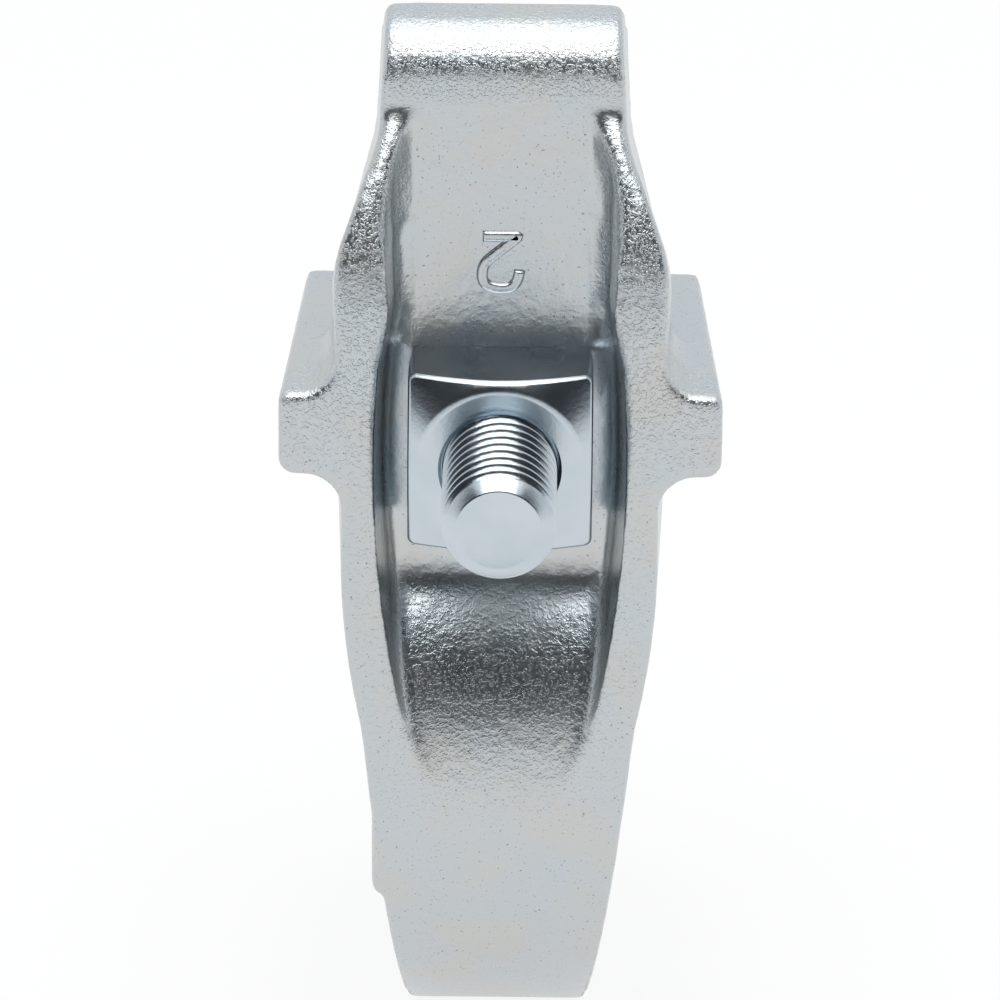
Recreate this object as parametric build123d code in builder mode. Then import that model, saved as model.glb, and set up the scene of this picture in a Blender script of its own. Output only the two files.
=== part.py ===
from build123d import *
import os
from math import cos, radians, sin, sqrt, tan

# Parallel conduit clamp. Two ribbed castings are drawn together by one long bolt.
# Below the bolt their hooks grip a conduit, above it their noses pinch a beam flange.
# The origin is the middle of the conduit. X runs along the conduit, Z up to the flange,
# and Y from the captive square nut in front to the bolt head behind.
# All sizes are in millimetres.

os.makedirs("parts", exist_ok=True)

# Conduit and hooks
conduit_diameter = 60.3
seat_clearance = 0.05
hook_wall = 7.8
tip_gap = 4.3

# Bolt and square nut
thread_diameter = 12.7
bolt_length = 82.55
bolt_over_conduit = 5.6
bolt_projection = 17.6
bolt_end_chamfer = 1.6
head_width = 19.05
head_height = 8.3
head_chamfer_diameter = 18.2
head_chamfer_angle = 30
washer_face_diameter = 18.3
washer_face_height = 0.4
hole_clearance = 0.6
nut_width = 20.5
nut_height = 11.0
nut_chamfer_diameter = 18.4
nut_chamfer_angle = 27
nut_corner_radius = 0.6
nut_countersink = 0.45
thread_clearance = 0.05

# Front jaw, front to back
web_thickness = 6.0
recess_depth = 9.0
crown_radius = 6.0
crown_flat = 4.1
nose_reach = 19.0
nose_edge_drop = 6.0
nose_height = 15.0
nose_undercut = 6.5
jaw_draft = 2.0
wing_taper = 3.3
wing_rear = 0.0

# Front jaw, heights over the bolt axis
crown_over_bolt = 47.2
neck_over_bolt = 30.5
rib_end_over_bolt = 38.0
rib_bend_over_bolt = 14.3
shoulder_over_bolt = 7.9
wing_under_bolt = 1.9

# Front jaw, widths seen from the front. The recess is wide enough to take the nut.
nut_side_clearance = 3.75
rib_width = 3.6
wing_reach = 7.05
arm_swell = 0.8
neck_half = 13.4
crown_half = 12.55
hook_half = 13.9
tip_half = 9.4
wing_upper_fillet = 4.2
wing_lower_fillet = 4.6
wing_corner_upper = 1.2
wing_corner_lower = 2.0
edge_rounding = 0.9

# Shares of the room beside the arm that the roundings of a wing may take
wing_upper_share = 0.62
wing_lower_share = 0.68
wing_corner_share = 0.3

# Curve of the jaws' edges seen from the front
arm_bend_rise = 1.0
arm_bend_radius = 16.0
neck_radius = 20.0
flank_drop = 0.65
flank_radius = 20.0
hook_flare = 1.35
hook_radius_in_front = 30.0
hook_taper = 1.2
tip_radius = 6.0

# Places at which that curve changes, as angles round the conduit over and under its middle
flank_angle = 38.3
hook_angle = 17.5
bow_angle = 19.3
tip_angle = 64.2
arm_foot_over_conduit = 0.8

# Roundings of both jaws seen from the side
throat_corner_radius = 2.0
throat_radius = 5.0
nose_foot_radius = 1.5
nose_edge_radius = 1.2
crown_back_radius = 3.0

# Recess between the front ribs, seen from the front and from the side
rib_inner_draft = 7.0
recess_top_drop = 1.9
recess_bend_drop = 0.75
recess_lower_drop = 0.9
recess_hook_drop = 3.6
recess_foot_drop = 7.0
recess_floor_radius = 2.0
recess_blend_radius = 9.0

# Channel and guide tongues that keep the jaws in line
bolt_side_clearance = 1.85
tongue_clearance = 0.4
tongue_width = 3.4
tongue_reach = 21.8
tongue_tip_radius = 2.0
tongue_over_conduit = 3.0
tongue_under_shoulder = 0.8

# Teeth across the front nose
tooth_pitch = 2.6
tooth_depth = 0.9
tooth_crest = 0.3
tooth_count = 5

# Rear jaw
rear_web = 6.0
rear_draft = 3.0
rear_arm_half = 15.4
rear_nose_half = 12.4
rear_nose_over_bolt = 35.0
rear_nose_height = 11.0
rear_nose_land = 3.0
rear_nose_undercut = 6.0
rear_back_rise = 7.0
rear_back_radius = 6.0
rear_waist_radius = 5.0
rear_flank_radius = 12.0
rear_hook_sweep = 15
rear_pad_half = 17.9
rear_pad_depth = 7.6
rear_pad_root = 0.6
rear_pad_drop = 1.0
rear_pad_rise = 6.0
rear_pad_foot = 4.0
rear_pad_upper_radius = 3.0
rear_pad_lower_radius = 2.0
rear_throat_depth = 5.6
rear_channel_roof = 10.0
mouth = 8.0

# Gate stub left on the parting edge of the front jaw
gate_top = 2.5
gate_length = 9.5
gate_depth = 3.2
gate_inset = 2.1
gate_tilt = 11
gate_root = 3.0
gate_proud = 0.25

# How far blanks and cutters run past the faces that they make
spare = 3.0

# Sizes that follow
seat_radius = conduit_diameter / 2 + seat_clearance
hook_radius = seat_radius + hook_wall
thread_radius = thread_diameter / 2
hole_radius = thread_radius + hole_clearance
recess_half = nut_width / 2 + nut_side_clearance
arm_half = recess_half + rib_width
shoulder_half = arm_half + arm_swell
wing_half = arm_half + wing_reach
tongue_inner = thread_radius + bolt_side_clearance
tongue_outer = tongue_inner + tongue_width
channel_half = tongue_outer + tongue_clearance
bolt_z = seat_radius + bolt_over_conduit + thread_radius
front_y = -hook_radius
web_y = front_y + recess_depth
web_back_y = web_y + web_thickness
nut_face_y = web_y - nut_height
bolt_end_y = nut_face_y - bolt_projection
rear_seat_y = bolt_end_y + bolt_length
rear_web_y = rear_seat_y - rear_web
head_y = rear_seat_y + head_height
shoulder_z = bolt_z + shoulder_over_bolt
wing_z = bolt_z - wing_under_bolt
crown_z = bolt_z + crown_over_bolt
neck_z = bolt_z + neck_over_bolt
rib_end_z = bolt_z + rib_end_over_bolt
rib_bend_z = bolt_z + rib_bend_over_bolt
arm_bend_z = rib_bend_z + arm_bend_rise
nose_y = web_y + nose_reach
nose_z = crown_z - nose_edge_drop
nose_foot_z = nose_z - nose_height
rear_nose_y = nose_y + mouth
rear_nose_z = bolt_z + rear_nose_over_bolt
rear_front_y = wing_rear + tip_gap
rear_foot_z = rear_nose_z - rear_nose_height
cheek_z = seat_radius / 2
side = 2 * wing_half

# Heights at which the edges of both hooks change their curve
arm_foot_z = seat_radius + arm_foot_over_conduit
flank_z = seat_radius * sin(radians(flank_angle))
hook_z = seat_radius * sin(radians(hook_angle))
bow_z = -hook_radius * sin(radians(bow_angle))
tip_z = -hook_radius * sin(radians(tip_angle))


def circle_y(radius, z):
    """How far a circle round the conduit stands out, front to back, at a height."""
    return sqrt(radius**2 - z**2)


def runs_back(edge):
    """True for an edge that runs more or less front to back."""
    return abs(edge.tangent_at(0.5).Y) > 0.9


def round_corners(outline, corners):
    """Rounds a sketch at each (x, y, radius), on both sides of its middle."""
    for x, y, radius in corners:
        pair = [v for v in outline.vertices() if abs(abs(v.X) - x) < 0.01 and abs(v.Y - y) < 0.01]
        fillet(pair, radius)


def drafted(outline, depth, draft):
    """Solid that narrows towards the front by its draft, from an outline drawn lying down."""
    face = outline if outline.normal_at().Z > 0 else -outline
    blank = Solid.extrude_taper(face, (0, 0, depth), draft)
    # A blank that has grown downwards is turned over, which its symmetry allows
    upright = blank if blank.center().Z > 0 else Rot(0, 180, 0) * blank
    return Rot(90, 0, 0) * upright


def front_outline(y):
    """Front jaw without its wings: arm, flanks and narrowing hook, drawn lying down."""
    top_z = crown_z + spare
    foot_z = -hook_radius - spare
    with BuildSketch() as outline:
        with BuildLine():
            Polyline(
                (0, top_z),
                (crown_half, top_z),
                (crown_half, crown_z),
                (neck_half, neck_z),
                (shoulder_half, arm_bend_z),
                (shoulder_half, shoulder_z),
                (arm_half, bolt_z),
                (arm_half, arm_foot_z),
            )
            ThreePointArc(
                (arm_half, arm_foot_z),
                (arm_half - flank_drop, flank_z),
                (hook_half + hook_flare, hook_z),
            )
            ThreePointArc(
                (hook_half + hook_flare, hook_z),
                (hook_half - hook_taper, bow_z),
                (tip_half, tip_z),
            )
            Polyline((tip_half, tip_z), (tip_half, foot_z), (0, foot_z))
            mirror(about=Plane.YZ)
        make_face()
        round_corners(
            outline,
            (
                (neck_half, neck_z, neck_radius),
                (shoulder_half, arm_bend_z, arm_bend_radius),
                (arm_half, arm_foot_z, flank_radius),
                (hook_half + hook_flare, hook_z, hook_radius_in_front),
                (tip_half, tip_z, tip_radius),
            ),
        )
        offset(amount=(y - front_y) * tan(radians(jaw_draft)), kind=Kind.INTERSECTION)
    return outline.sketch.face()


def recess_outline(y):
    """Inside of the front ribs, drawn lying down. It is as wide as the ribs allow at a depth."""
    widest = recess_half - (y - front_y) * tan(radians(rib_inner_draft))
    top_z = crown_z + 3 * spare
    with BuildSketch() as outline:
        with BuildLine():
            Polyline(
                (0, top_z),
                (widest - recess_top_drop, top_z),
                (widest - recess_top_drop, rib_end_z),
            )
            ThreePointArc(
                (widest - recess_top_drop, rib_end_z),
                (widest - recess_bend_drop, rib_bend_z + spare),
                (widest, bolt_z + spare),
            )
            ThreePointArc(
                (widest, bolt_z + spare),
                (widest - recess_lower_drop, (arm_foot_z + flank_z) / 2),
                (widest - recess_hook_drop, hook_z),
            )
            Polyline((widest - recess_hook_drop, hook_z), (widest - recess_foot_drop, -spare), (0, -spare))
            mirror(about=Plane.YZ)
        make_face()
    return outline.sketch.face()


# The hollow between the front ribs. Its floor is the web above and the back of the hook below.
mouth_y = front_y - spare
core = drafted(recess_outline(mouth_y), recess_depth + 2 * spare, rib_inner_draft)
with BuildPart() as recess:
    add(Rot(0, 0, 180) * Pos(0, -mouth_y, 0) * core)
    with BuildSketch(Plane.YZ) as hollow:
        meet_z = sqrt(hook_radius**2 - web_y**2)
        with BuildLine():
            Polyline(
                (web_y, meet_z),
                (web_y, crown_z + 4 * spare),
                (front_y - 2 * spare, crown_z + 4 * spare),
                (front_y - 2 * spare, -2 * spare),
                (front_y, -2 * spare),
                (front_y, 0),
            )
            ThreePointArc(
                (front_y, 0),
                (-circle_y(hook_radius, meet_z / 2), meet_z / 2),
                (web_y, meet_z),
            )
        make_face()
        fillet(hollow.vertices().sort_by_distance((web_y, meet_z))[0], recess_blend_radius)
    extrude(amount=side, both=True, mode=Mode.INTERSECT)
    floor_edges = [
        e
        for e in recess.edges()
        if not runs_back(e)
        and e.center().Y > front_y - spare / 2
        and abs(e.center().X) > spare
        and e.center().Z < crown_z + spare
    ]
    fillet(floor_edges, recess_floor_radius)

# Wings, narrowing towards the back, with rounded ends
depth = wing_rear + spare - front_y
room = wing_half - shoulder_half
with BuildPart() as wings:
    with BuildSketch(Plane.XY.offset(wing_z)):
        wing_back = wing_half - depth * tan(radians(wing_taper))
        with BuildLine():
            Polyline(
                (0, front_y),
                (wing_half, front_y),
                (wing_back, front_y + depth),
                (0, front_y + depth),
            )
            mirror(about=Plane.YZ)
        make_face()
    extrude(amount=shoulder_z - wing_z)
    ends = wings.edges().filter_by(runs_back)
    upper_ends = [e for e in ends if e.center().Z > bolt_z]
    lower_ends = [e for e in ends if e.center().Z < bolt_z]
    fillet(upper_ends, min(wing_corner_upper, wing_corner_share * room))
    fillet(lower_ends, min(wing_corner_lower, wing_corner_share * room))

# Front jaw. Its blank has the draft of the mould. The side view gives the slope of the ribs,
# the crown, the hooked nose and the wings' long top faces.
with BuildPart() as front_jaw:
    add(Pos(0, front_y + depth, 0) * drafted(front_outline(front_y + depth), depth, jaw_draft))
    add(wings.part)
    roots = [
        e
        for e in front_jaw.edges().filter_by(runs_back)
        if abs(e.center().X) < (shoulder_half + wing_half) / 2
    ]
    over = [e for e in roots if abs(e.center().Z - shoulder_z) < 0.01]
    under = [e for e in roots if abs(e.center().Z - wing_z) < 0.01]
    fillet(over, min(wing_upper_fillet, wing_upper_share * room))
    fillet(under, min(wing_lower_fillet, wing_lower_share * room))
    with BuildSketch(Plane.YZ) as side_view:
        tip_y = -tip_gap / 2
        crown_back_y = web_y + crown_radius + crown_flat
        with BuildLine():
            Polyline(
                (tip_y, -2 * hook_radius),
                (tip_y, -cheek_z),
                (wing_rear, cheek_z),
                (wing_rear, shoulder_z),
                (web_back_y, shoulder_z),
                (web_back_y, nose_foot_z - nose_undercut),
                (nose_y, nose_foot_z),
                (nose_y, nose_z),
                (crown_back_y, crown_z),
                (web_y + crown_radius, crown_z),
            )
            crown = JernArc((web_y + crown_radius, crown_z), (-1, 0), crown_radius, 90)
            Line(crown @ 1, (web_y, rib_end_z))
            TangentArc((front_y, rib_bend_z), (web_y, rib_end_z), tangent=(0, 1))
            Polyline(
                (front_y, rib_bend_z),
                (front_y, -2 * hook_radius),
                (tip_y, -2 * hook_radius),
            )
        make_face()
        for point, radius in (
            ((web_back_y, shoulder_z), throat_corner_radius),
            ((web_back_y, nose_foot_z - nose_undercut), throat_radius),
            ((nose_y, nose_foot_z), nose_foot_radius),
            ((nose_y, nose_z), nose_edge_radius),
            ((crown_back_y, crown_z), crown_back_radius),
        ):
            fillet(side_view.vertices().sort_by_distance(point)[0], radius)
    extrude(amount=side, both=True, mode=Mode.INTERSECT)
    # The rim of the ribs and wings, rounded all the way up to the crown
    rim_face = front_jaw.faces().filter_by(GeomType.PLANE).sort_by(Axis.Y)[0]
    fillet([e for e in rim_face.edges() if abs(e.center().X) > hook_half / 2], edge_rounding)
    # The outside of the hook, round below the middle of the conduit
    with BuildSketch(Plane.YZ):
        with Locations((0, -hook_radius)):
            Rectangle(4 * hook_radius, 2 * hook_radius)
        Circle(hook_radius, mode=Mode.SUBTRACT)
    extrude(amount=side, both=True, mode=Mode.SUBTRACT)
    add(recess.part, mode=Mode.SUBTRACT)
    with BuildSketch(Plane.YZ):
        Circle(seat_radius)
    extrude(amount=side, both=True, mode=Mode.SUBTRACT)
    # Channel behind the web that takes the tongues of the rear jaw
    with BuildSketch(Plane.XY):
        with Locations((0, web_back_y + depth / 2)):
            Rectangle(2 * channel_half, depth)
    extrude(amount=shoulder_z + spare, mode=Mode.SUBTRACT)
    # Bolt hole through the web
    with BuildSketch(Plane.XZ.offset(-web_back_y)):
        with Locations((0, bolt_z)):
            Circle(hole_radius)
    extrude(amount=web_thickness + spare, mode=Mode.SUBTRACT)
    # Teeth across the nose
    with BuildSketch(Plane.YZ):
        middle_z = (nose_z + nose_foot_z) / 2
        groove_half = (tooth_pitch - tooth_crest) / 2
        for n in range(tooth_count):
            groove_z = middle_z + (n - (tooth_count - 1) / 2) * tooth_pitch
            with BuildLine():
                Polyline(
                    (nose_y, groove_z - groove_half),
                    (nose_y - tooth_depth, groove_z),
                    (nose_y, groove_z + groove_half),
                    close=True,
                )
            make_face()
    extrude(amount=side, both=True, mode=Mode.SUBTRACT)
    # Stub of the gate through which the metal ran in, broken off on the left edge
    with BuildSketch(Plane.YZ.offset(gate_root - hook_half)):
        gate_z = -gate_top - gate_length / 2
        gate_y = -circle_y(hook_radius - gate_inset, gate_z)
        with Locations(Location((gate_y, gate_z, 0), (0, 0, gate_tilt))):
            RectangleRounded(gate_depth, gate_length, gate_depth / 3)
    extrude(amount=-gate_root - gate_proud)
front_jaw.part.label = "front_jaw"
export_step(front_jaw.part, "parts/front_jaw.step")


def rear_outline(y):
    """Rear jaw seen from the front: nose, arm and narrowing hook, with no wings."""
    narrowing = (y - rear_front_y) * tan(radians(rear_draft))
    arm = rear_arm_half - narrowing
    nose = rear_nose_half - narrowing
    bow = hook_half - hook_taper - narrowing
    tip = tip_half - narrowing
    neck_height = (rear_nose_z + rear_foot_z) / 2
    bend_z = (rear_foot_z + shoulder_z) / 2
    with BuildSketch(Plane.XZ.offset(-y)) as outline:
        with BuildLine():
            Polyline(
                (0, rear_nose_z + spare),
                (nose, rear_nose_z + spare),
                (nose, neck_height),
                (arm, bend_z),
                (arm, hook_z),
            )
            ThreePointArc((arm, hook_z), (bow, bow_z), (tip, tip_z))
            Polyline((tip, tip_z), (tip, -hook_radius - spare), (0, -hook_radius - spare))
            mirror(about=Plane.YZ)
        make_face()
        round_corners(outline, ((nose, neck_height, rear_flank_radius), (arm, bend_z, rear_flank_radius)))
    return outline.sketch.face()


# Rear jaw. It is shorter than the front one and has no wings. Its tongues slide between
# the cheeks of the front jaw, so the two stay in line while the bolt draws them together.
with BuildPart() as rear_jaw:
    loft([rear_outline(rear_nose_y), rear_outline(hook_radius + spare)], ruled=True)
    with BuildSketch(Plane.YZ) as side_view:
        tip_y = tip_gap / 2
        throat_y = rear_front_y + rear_throat_depth
        land_y = rear_nose_y + rear_nose_land
        back_z = shoulder_z + rear_back_rise
        waist_z = sqrt(hook_radius**2 - rear_seat_y**2)
        with BuildLine():
            Polyline(
                (tip_y, -circle_y(hook_radius, tip_y)),
                (tip_y, -cheek_z),
                (rear_front_y, cheek_z),
                (rear_front_y, shoulder_z),
                (throat_y, shoulder_z),
                (throat_y, rear_foot_z - rear_nose_undercut),
                (rear_nose_y, rear_foot_z),
                (rear_nose_y, rear_nose_z),
                (land_y, rear_nose_z),
                (rear_seat_y, back_z),
                (rear_seat_y, waist_z),
            )
            ThreePointArc(
                (rear_seat_y, waist_z),
                (
                    hook_radius * cos(radians(rear_hook_sweep)),
                    -hook_radius * sin(radians(rear_hook_sweep)),
                ),
                (tip_y, -circle_y(hook_radius, tip_y)),
            )
        make_face()
        for point, radius in (
            ((throat_y, shoulder_z), throat_corner_radius),
            ((throat_y, rear_foot_z - rear_nose_undercut), throat_radius),
            ((rear_nose_y, rear_foot_z), nose_foot_radius),
            ((rear_nose_y, rear_nose_z), nose_edge_radius),
            ((land_y, rear_nose_z), crown_back_radius),
            ((rear_seat_y, back_z), rear_back_radius),
            ((rear_seat_y, waist_z), rear_waist_radius),
        ):
            fillet(side_view.vertices().sort_by_distance(point)[0], radius)
    extrude(amount=side, both=True, mode=Mode.INTERSECT)
    # Pads beside the channel, level with the wings of the front jaw
    with BuildSketch(Plane.XZ.offset(-rear_front_y)) as pads:
        pad_root = rear_arm_half - rear_pad_root
        pad_top_z = shoulder_z - rear_pad_drop
        with BuildLine():
            Polyline(
                (0, shoulder_z + rear_pad_rise),
                (pad_root, shoulder_z + rear_pad_rise),
                (rear_pad_half, pad_top_z),
                (rear_pad_half, wing_z),
                (pad_root, wing_z - rear_pad_foot),
                (0, wing_z - rear_pad_foot),
            )
            mirror(about=Plane.YZ)
        make_face()
        round_corners(
            pads,
            (
                (rear_pad_half, pad_top_z, rear_pad_upper_radius),
                (rear_pad_half, wing_z, rear_pad_lower_radius),
            ),
        )
    extrude(amount=-rear_pad_depth)
    # Channel for the bolt, closed above by the arm
    with BuildSketch(Plane.XY):
        with Locations((0, rear_web_y / 2)):
            Rectangle(2 * tongue_inner, rear_web_y)
    extrude(amount=rear_foot_z - rear_channel_roof, mode=Mode.SUBTRACT)
    # Guide tongues
    for inner in (tongue_inner, -tongue_outer):
        with BuildSketch(Plane.YZ.offset(inner)) as tongue:
            low_z = conduit_diameter / 2 + tongue_over_conduit
            high_z = shoulder_z - tongue_under_shoulder
            with BuildLine():
                Polyline(
                    (rear_front_y + spare, low_z),
                    (rear_front_y - tongue_reach, low_z),
                    (rear_front_y - tongue_reach, high_z),
                    (rear_front_y + spare, high_z),
                    close=True,
                )
            make_face()
            fillet(tongue.vertices().sort_by(Axis.X)[:2], tongue_tip_radius)
        extrude(amount=tongue_width)
    with BuildSketch(Plane.YZ):
        Circle(seat_radius)
    extrude(amount=side, both=True, mode=Mode.SUBTRACT)
    with BuildSketch(Plane.XZ.offset(-rear_seat_y)):
        with Locations((0, bolt_z)):
            Circle(hole_radius)
    extrude(amount=rear_web + spare, mode=Mode.SUBTRACT)
rear_jaw.part.label = "rear_jaw"
export_step(rear_jaw.part, "parts/rear_jaw.step")

# Bolt: hex head bearing on the rear jaw, shank with a chamfered end in front
bolt_axis = Axis((0, 0, bolt_z), (0, 1, 0))
with BuildPart() as bolt:
    with BuildSketch(Plane.XZ.offset(-rear_seat_y)):
        with Locations((0, bolt_z)):
            RegularPolygon(head_width / 2, 6, major_radius=False)
    extrude(amount=-head_height)
    # The head is turned off round its corners in front of it and behind it
    with BuildSketch(Plane.YZ):
        head_reach = head_width / sqrt(3) + spare
        head_drop = (head_reach - head_chamfer_diameter / 2) * tan(radians(head_chamfer_angle))
        with BuildLine():
            Polyline(
                (rear_seat_y, bolt_z),
                (rear_seat_y, bolt_z + washer_face_diameter / 2),
                (rear_seat_y + washer_face_height, bolt_z + washer_face_diameter / 2),
                (rear_seat_y + washer_face_height, bolt_z + head_reach),
                (head_y - head_drop, bolt_z + head_reach),
                (head_y, bolt_z + head_chamfer_diameter / 2),
                (head_y, bolt_z),
                close=True,
            )
        make_face()
    revolve(axis=bolt_axis, mode=Mode.INTERSECT)
    with BuildSketch(Plane.XZ.offset(-rear_seat_y)):
        with Locations((0, bolt_z)):
            Circle(thread_radius)
    extrude(amount=bolt_length)
    chamfer(bolt.faces().sort_by(Axis.Y)[0].edges(), bolt_end_chamfer)
bolt.part.label = "bolt"
export_step(bolt.part, "parts/bolt.step")

# Square nut, held from turning by the ribs of the front jaw
nut_bore_radius = thread_radius + thread_clearance
with BuildPart() as square_nut:
    with BuildSketch(Plane.XZ.offset(-web_y)) as square:
        with Locations((0, bolt_z)):
            Rectangle(nut_width, nut_width)
        fillet(square.vertices(), nut_corner_radius)
    extrude(amount=nut_height)
    # The front face is turned off round its corners
    with BuildSketch(Plane.YZ):
        nut_reach = nut_width / sqrt(2) + spare
        nut_drop = (nut_reach - nut_chamfer_diameter / 2) * tan(radians(nut_chamfer_angle))
        with BuildLine():
            Polyline(
                (web_y, bolt_z),
                (web_y, bolt_z + nut_reach),
                (nut_face_y + nut_drop, bolt_z + nut_reach),
                (nut_face_y, bolt_z + nut_chamfer_diameter / 2),
                (nut_face_y, bolt_z),
                close=True,
            )
        make_face()
    revolve(axis=bolt_axis, mode=Mode.INTERSECT)
    with BuildSketch(Plane.XZ.offset(-web_y)):
        with Locations((0, bolt_z)):
            Circle(nut_bore_radius)
    extrude(amount=nut_height, mode=Mode.SUBTRACT)
    bore_face = square_nut.faces().filter_by(GeomType.CYLINDER).sort_by(SortBy.AREA)[-1]
    chamfer(bore_face.edges().filter_by(GeomType.CIRCLE), nut_countersink)
square_nut.part.label = "square_nut"
export_step(square_nut.part, "parts/square_nut.step")
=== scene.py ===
import bmesh
import bpy
from math import cos, pi, radians, sin, tan
from mathutils import Matrix, Vector


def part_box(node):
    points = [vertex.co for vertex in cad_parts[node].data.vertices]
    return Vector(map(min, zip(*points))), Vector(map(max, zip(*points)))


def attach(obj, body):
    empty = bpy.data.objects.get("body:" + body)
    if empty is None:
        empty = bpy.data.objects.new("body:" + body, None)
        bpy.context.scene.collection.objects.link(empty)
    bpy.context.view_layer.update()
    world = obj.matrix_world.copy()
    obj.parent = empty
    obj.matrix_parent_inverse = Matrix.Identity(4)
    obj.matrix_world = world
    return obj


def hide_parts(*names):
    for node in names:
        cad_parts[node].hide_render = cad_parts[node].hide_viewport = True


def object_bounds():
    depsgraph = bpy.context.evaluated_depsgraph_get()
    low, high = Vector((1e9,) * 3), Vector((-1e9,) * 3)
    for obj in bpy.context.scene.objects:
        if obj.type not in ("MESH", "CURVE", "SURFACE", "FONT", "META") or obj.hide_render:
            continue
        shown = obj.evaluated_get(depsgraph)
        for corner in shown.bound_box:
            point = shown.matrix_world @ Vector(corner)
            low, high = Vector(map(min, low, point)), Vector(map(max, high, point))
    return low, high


bl_info = {
    "name": "Parallel Conduit Clamp",
    "version": (1, 0, 0),
    "blender": (4, 5, 0),
    "location": "View3D > Sidebar > Conduit Clamp",
    "description": "Zinc-plated clamp castings, threaded bolt, square nut and studio",
    "category": "Add Mesh",
}

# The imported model, in metres. Its nodes give the places of all that is made here.
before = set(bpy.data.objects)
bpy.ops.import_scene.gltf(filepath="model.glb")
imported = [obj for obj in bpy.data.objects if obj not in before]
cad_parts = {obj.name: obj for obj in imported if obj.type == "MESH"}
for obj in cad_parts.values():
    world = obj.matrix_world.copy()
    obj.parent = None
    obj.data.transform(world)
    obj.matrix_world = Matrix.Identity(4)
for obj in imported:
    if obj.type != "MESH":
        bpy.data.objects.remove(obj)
cad_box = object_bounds()
MM = 0.001
# A half-inch bolt
BOLT_RADIUS = 12.7 / 2 * MM
# Foot of the upturned numeral on the web, 29 mm in front of the conduit's middle
NUMERAL_FOOT = Vector((-0.1, -29.0, 65.48)) * MM
# Heights and half widths of the front jaw's arm, in millimetres: at the bolt, at the foot and
# the top of the shoulder, and at the root and the top of the crown
ARM_SIDES = ((42.15, 17.6), (50.05, 18.4), (57.45, 18.4), (72.65, 13.4), (89.35, 12.55))
# Settings that more than one node takes
SMOOTH = {"interpolation_type": "SMOOTHSTEP"}
COLOURS = {"data_type": "RGBA"}


def linear(colour):
    """Turns an sRGB hex colour into linear light."""
    levels = [int(colour[i : i + 2], 16) / 255 for i in (1, 3, 5)]
    return [v / 12.92 if v <= 0.04045 else ((v + 0.055) / 1.055) ** 2.4 for v in levels] + [1.0]


class ClampCastingSettings(bpy.types.PropertyGroup):
    """Surface of the two castings and the numeral on the front one."""

    body_size: bpy.props.FloatProperty(
        name="Surface Detail",
        description="Size of the faces that make up the cast surface",
        default=0.46 * MM,
        unit="LENGTH",
    )
    skin_size: bpy.props.FloatProperty(
        name="Skin Lump Size",
        description="Distance between the shallow lumps that the sand mould leaves",
        default=2.4 * MM,
        unit="LENGTH",
    )
    skin_depth: bpy.props.FloatProperty(
        name="Skin Lump Depth",
        description="Height of the shallow lumps that the sand mould leaves",
        default=0.055 * MM,
        unit="LENGTH",
    )
    rib_lean: bpy.props.FloatProperty(
        name="Rib Lean",
        description="How far the arm's outline rises towards the front, over the distance",
        default=0.44,
    )
    rib_rear: bpy.props.FloatProperty(
        name="Rib Rear",
        description="Place along Y where the arm keeps the solid's own outline",
        default=-19.0 * MM,
        unit="LENGTH",
    )
    rib_inner: bpy.props.FloatProperty(
        name="Rib Inner Swell",
        description="How far the ribs' inner walls stand in over the web, in front",
        default=1.1 * MM,
        unit="LENGTH",
    )
    hook_inner: bpy.props.FloatProperty(
        name="Worn From",
        description="Distance from the conduit's middle past which the hooks' edges are worn round",
        default=33.0 * MM,
        unit="LENGTH",
    )
    hook_wear: bpy.props.IntProperty(
        name="Hook Wear",
        description="How far the edges of the hooks are worn round",
        default=6,
    )
    grain_size: bpy.props.FloatProperty(
        name="Sand Grain",
        description="Size of one grain of the moulding sand",
        default=0.42 * MM,
        unit="LENGTH",
    )
    numeral_height: bpy.props.FloatProperty(
        name="Numeral Height",
        description="Height of the raised trade size numeral",
        default=7.27 * MM,
        unit="LENGTH",
    )
    numeral_width: bpy.props.FloatProperty(
        name="Numeral Width",
        description="Width of the raised trade size numeral",
        default=5.4 * MM,
        unit="LENGTH",
    )
    numeral_stroke: bpy.props.FloatProperty(
        name="Numeral Stroke",
        description="Width of the numeral's raised line",
        default=1.3 * MM,
        unit="LENGTH",
    )
    zinc: bpy.props.FloatVectorProperty(
        name="Zinc",
        description="Colour of the zinc plating on the castings",
        size=4,
        subtype="COLOR",
        default=linear("#C6CACC"),
    )
    zinc_straw: bpy.props.FloatVectorProperty(
        name="Straw Tint",
        description="Colour where the passivation film is thicker",
        size=4,
        subtype="COLOR",
        default=linear("#C8CAC8"),
    )
    zinc_blue: bpy.props.FloatVectorProperty(
        name="Blue Tint",
        description="Colour where the passivation film is thinner",
        size=4,
        subtype="COLOR",
        default=linear("#C4CACD"),
    )


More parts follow.
